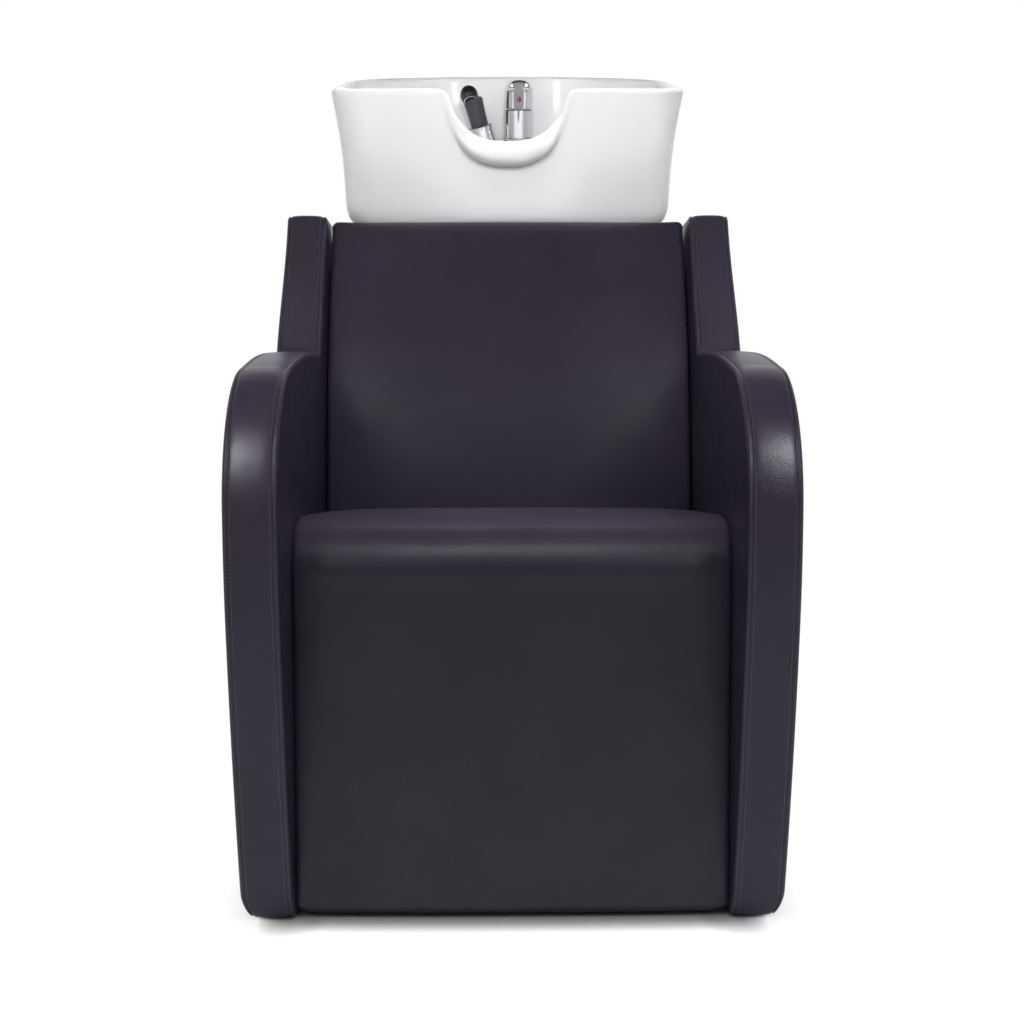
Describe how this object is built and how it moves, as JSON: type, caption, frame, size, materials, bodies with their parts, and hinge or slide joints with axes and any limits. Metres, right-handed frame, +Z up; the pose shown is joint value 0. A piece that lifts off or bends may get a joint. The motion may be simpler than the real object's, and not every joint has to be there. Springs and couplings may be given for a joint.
{
  "type": "salon backwash unit",
  "caption": "Upholstered reclined wash chair with padded arms and wings, and a tilting ceramic basin with neck notch, lever mixer tap and pull-out hand spray on a rear column.",
  "frame": {"origin": "middle of the footprint on the floor", "axes": "+Z up, -Y towards the front of the arms, +X to the right seen from the front"},
  "size_m": [0.66, 1.24, 0.976],
  "materials": {
    "vinyl": "satin",
    "padding": "satin",
    "plywood": "matte",
    "laminate": "satin",
    "black_steel": "satin",
    "zinc": "satin",
    "friction": "matte",
    "rubber": "matte",
    "glide": "matte",
    "ceramic": "gloss",
    "chrome": "polished",
    "brass": "satin",
    "white_plastic": "satin",
    "black_gloss": "gloss",
    "hot_red": "gloss",
    "cold_blue": "gloss"
  },
  "bodies": {
    "chassis": {"left_side_outer_cover": "vinyl", "right_side_outer_cover": "vinyl", "left_side_inner_cover": "vinyl", "right_side_inner_cover": "vinyl", "left_side_band": "padding", "right_side_band": "padding", "seat_cushion": "padding", "back_pad": "padding", "left_side_core": "plywood", "right_side_core": "plywood", "seat_board": "plywood", "front_board": "plywood", "back_board": "plywood", "left_seat_rail": "plywood", "right_seat_rail": "plywood", "panel_battens": "plywood", "rear_panel": "laminate", "column_shell": "laminate", "access_panel": "laminate", "base_frame": "black_steel", "front_ties": "black_steel", "upper_cross_bar": "black_steel", "lower_cross_bar": "black_steel", "column_posts": "black_steel", "tilt_bracket": "black_steel", "bracket_bolts": "zinc", "tilt_pin": "zinc", "tilt_nut": "zinc", "panel_screws": "zinc", "friction_washers": "friction", "floor_glides": "glide"},
    "basin": {"cradle": "black_steel", "tilt_bush": "friction", "basin_pads": "rubber", "basin_studs": "zinc", "basin_bowl": "ceramic", "waste_flange": "chrome", "waste_seal": "rubber", "waste_nut": "white_plastic", "waste_tail": "white_plastic", "tap_gasket": "rubber", "tap_base_ring": "chrome", "tap_body": "chrome", "tap_cartridge": "white_plastic", "tap_shank": "brass", "tap_nut": "brass", "spray_flange": "chrome", "spray_nut": "brass", "spray_socket": "chrome"},
    "tap_swivel": {"tap_carrier": "brass"},
    "tap_handle": {"tap_lever": "chrome", "lever_pin": "brass", "hot_mark": "hot_red", "cold_mark": "cold_blue"},
    "hand_spray": {"spray_handle": "black_gloss", "spray_ring": "chrome", "spray_nipple": "brass", "spray_head": "black_gloss"},
    "strainer": {"waste_strainer": "chrome"}
  },
  "joints": [
    {"name": "basin_tilt", "type": "hinge", "parent": "chassis", "child": "basin", "pos_m": [0, 0.285, 0.705], "axis": [1, 0, 0], "range_deg": [-8, 2]},
    {"name": "tap_turn", "type": "hinge", "parent": "basin", "child": "tap_swivel", "pos_m": [0.022, 0.53, 0.93], "axis": [0, 0, 1], "range_deg": [-45, 45]},
    {"name": "tap_lift", "type": "hinge", "parent": "tap_swivel", "child": "tap_handle", "pos_m": [0.022, 0.53, 0.93], "axis": [-1, 0, 0], "range_deg": [0, 18]},
    {"name": "spray_pull", "type": "slide", "parent": "basin", "child": "hand_spray", "axis": [-0.2588, 0, 0.9659], "range_m": [0, 0.12]},
    {"name": "strainer_lift", "type": "slide", "parent": "basin", "child": "strainer", "axis": [0, 0, 1], "range_m": [0, 0.06]}
  ]
}
